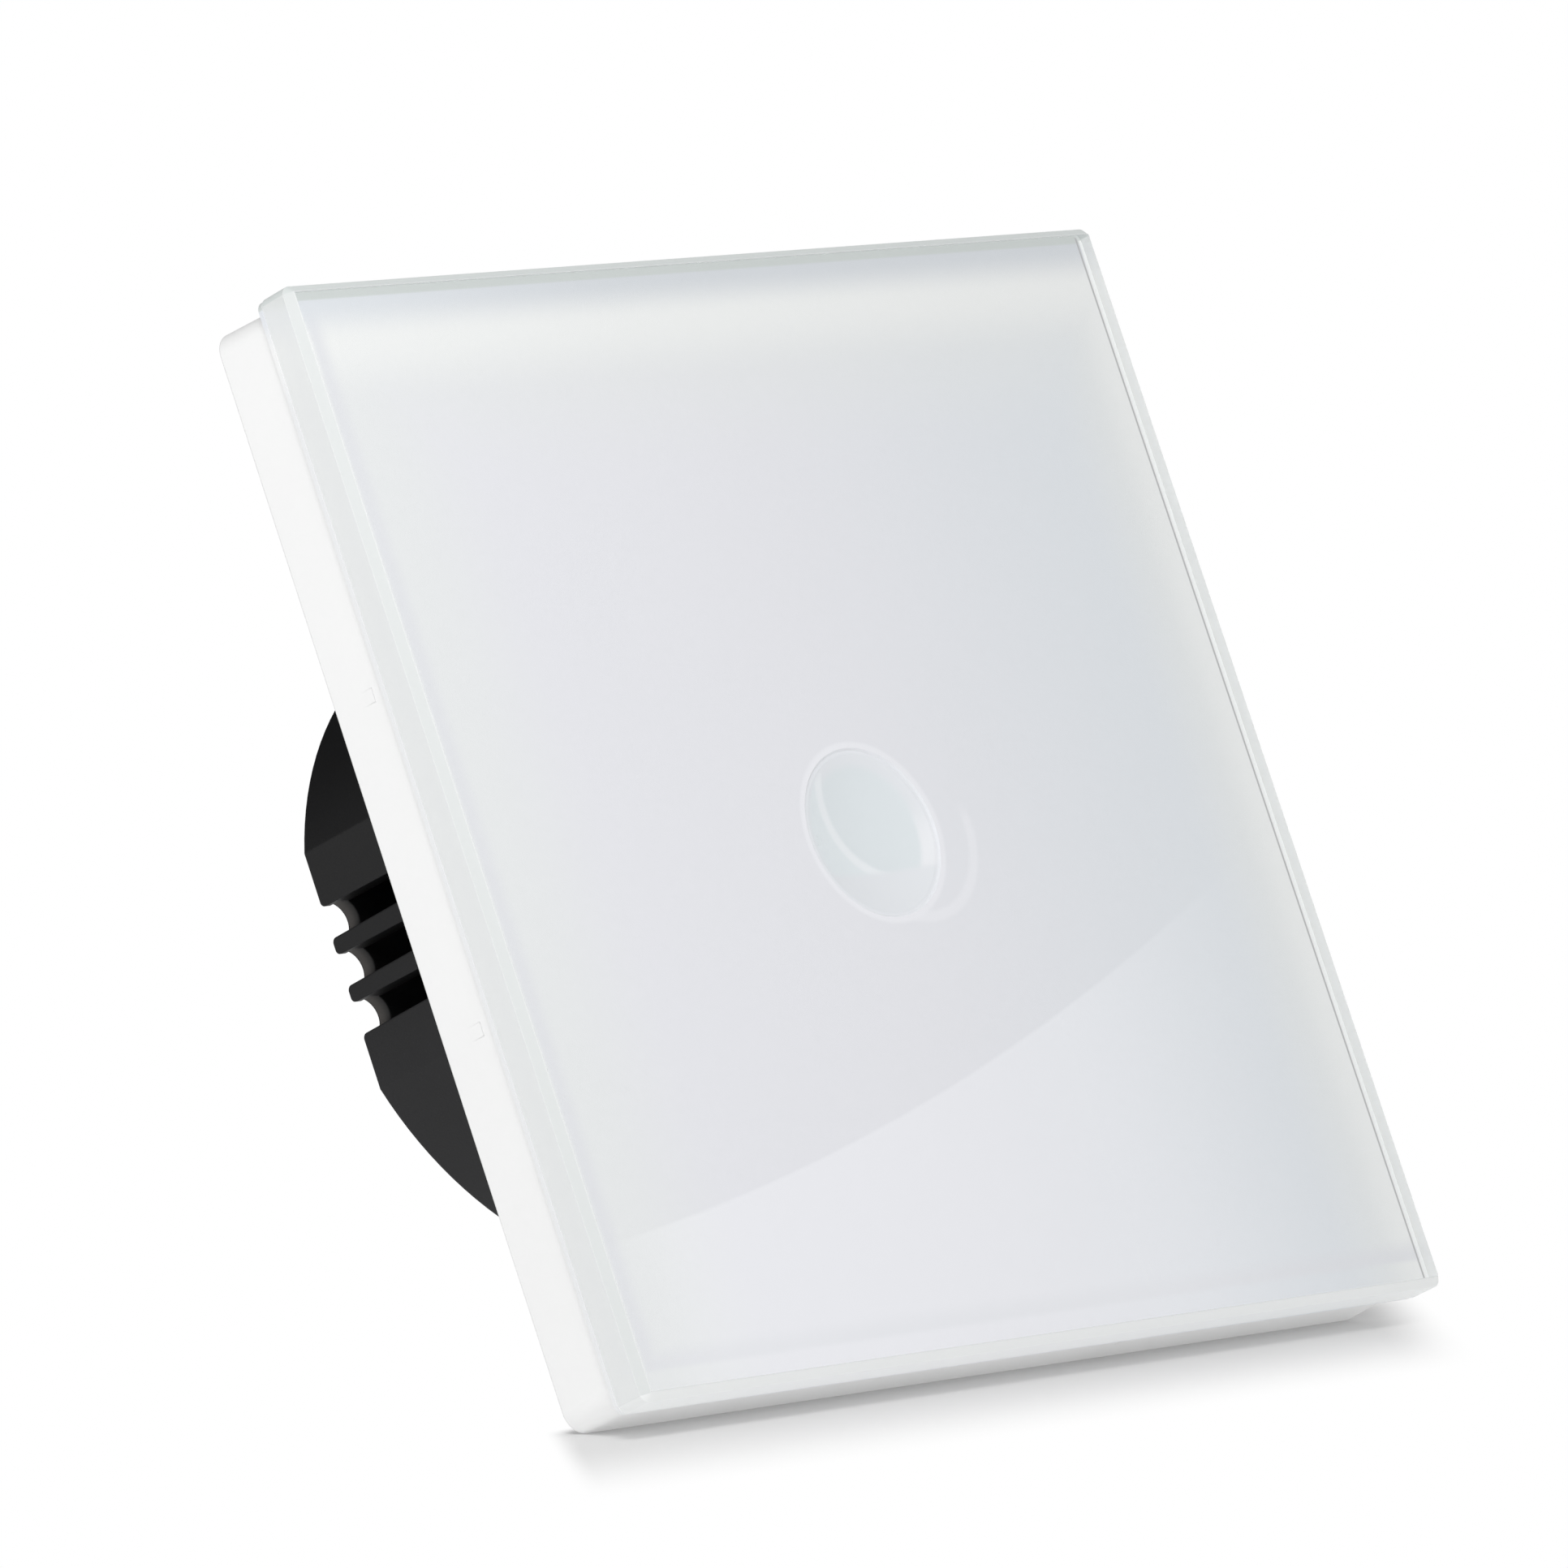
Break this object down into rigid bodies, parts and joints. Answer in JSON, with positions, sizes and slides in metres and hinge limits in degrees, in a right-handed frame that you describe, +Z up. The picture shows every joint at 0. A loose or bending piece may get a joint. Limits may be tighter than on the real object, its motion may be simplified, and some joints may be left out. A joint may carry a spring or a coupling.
{
  "type": "touch light switch",
  "caption": "Glass touch light switch: a square clear glass front on a white frame, with a round black rear housing that sits in a round wall box.",
  "frame": {"origin": "middle of the wall screw pattern, on the wall plane (back of the mounting plate)", "axes": "+X to the right as seen from the room, +Z up, +Y into the wall; the glass faces -Y"},
  "size_m": [0.08, 0.0318, 0.08],
  "materials": {
    "clear_glass": "polished clear float glass",
    "white_sheet": "white backing sheet",
    "milky_lens": "milky diffuser",
    "white_plastic": "satin white moulding",
    "plate_steel": "zinc plated sheet",
    "screw_steel": "zinc plated",
    "black_plastic": "fine matte moulding",
    "terminal_plastic": "grey moulding",
    "board": "solder mask",
    "foam": "conductive foam",
    "lamp": "clear resin",
    "chip": "moulded package",
    "brass": "plain",
    "iron": "nickel plated iron",
    "ferrite": "ferrite",
    "copper_wire": "lacquered copper",
    "relay_blue": "moulded cover",
    "bobbin": "nylon",
    "film_yellow": "moulded box",
    "can_sleeve": "shrink sleeve",
    "disc_lacquer": "dipped lacquer",
    "fuse_body": "ceramic tube"
  },
  "bodies": {
    "module": {"mounting_plate": "plate_steel", "rear_housing": "black_plastic", "inner_cover": "white_plastic", "housing_screws": "screw_steel", "touch_board": "board", "touch_foam": "foam", "indicator_lamps": "lamp", "touch_chip": "chip", "header_strip": "black_plastic", "header_pins": "brass", "header_socket": "black_plastic", "power_board": "board", "terminal_block": "terminal_plastic", "contact_bars": "brass", "relay_base": "bobbin", "relay_case": "relay_blue", "relay_yoke": "iron", "coil_former": "bobbin", "coil_winding": "copper_wire", "coil_core": "iron", "fixed_contact": "brass", "transformer_base": "bobbin", "transformer_core": "ferrite", "transformer_coil": "copper_wire", "film_capacitor": "film_yellow", "reservoir_capacitor": "can_sleeve", "varistor": "disc_lacquer", "fuse": "fuse_body", "bridge_rectifier": "chip"},
    "glass_front": {"glass_panel": "clear_glass", "backing_sheet": "white_sheet", "touch_lens": "milky_lens", "panel_frame": "white_plastic"},
    "armature": {"relay_armature": "iron", "contact_blade": "brass"},
    "screw_1": {"terminal_screw_1": "screw_steel"},
    "cage_1": {"terminal_cage_1": "screw_steel"},
    "screw_2": {"terminal_screw_2": "screw_steel"},
    "cage_2": {"terminal_cage_2": "screw_steel"},
    "screw_3": {"terminal_screw_3": "screw_steel"},
    "cage_3": {"terminal_cage_3": "screw_steel"}
  },
  "joints": [
    {"name": "glass_front_pull", "type": "slide", "parent": "module", "child": "glass_front", "axis": [0, -1, 0], "range_m": [0, 0.03]},
    {"name": "armature_rock", "type": "hinge", "parent": "module", "child": "armature", "pos_m": [-0.0081, 0.0186, 0.0118], "axis": [0, 0, -1], "range_deg": [0, 2.4], "stiffness_Nm_per_rad": 0.02},
    {"name": "terminal_screw_1_turn", "type": "hinge", "parent": "module", "child": "screw_1", "pos_m": [-0.0064, 0.0205, -0.0154], "axis": [0, -1, 0], "range_deg": [0, 2016]},
    {"name": "terminal_cage_1_lift", "type": "slide", "parent": "module", "child": "cage_1", "axis": [0, 1, 0], "range_m": [0, 0.0028]},
    {"name": "terminal_screw_2_turn", "type": "hinge", "parent": "module", "child": "screw_2", "pos_m": [0, 0.0205, -0.0154], "axis": [0, -1, 0], "range_deg": [0, 2016]},
    {"name": "terminal_cage_2_lift", "type": "slide", "parent": "module", "child": "cage_2", "axis": [0, 1, 0], "range_m": [0, 0.0028]},
    {"name": "terminal_screw_3_turn", "type": "hinge", "parent": "module", "child": "screw_3", "pos_m": [0.0064, 0.0205, -0.0154], "axis": [0, -1, 0], "range_deg": [0, 2016]},
    {"name": "terminal_cage_3_lift", "type": "slide", "parent": "module", "child": "cage_3", "axis": [0, 1, 0], "range_m": [0, 0.0028]}
  ],
  "couplings": [
    {"joint": "terminal_screw_1_turn", "follows": "terminal_cage_1_lift", "rad_per_m": 12566},
    {"joint": "terminal_screw_2_turn", "follows": "terminal_cage_2_lift", "rad_per_m": 12566},
    {"joint": "terminal_screw_3_turn", "follows": "terminal_cage_3_lift", "rad_per_m": 12566}
  ]
}
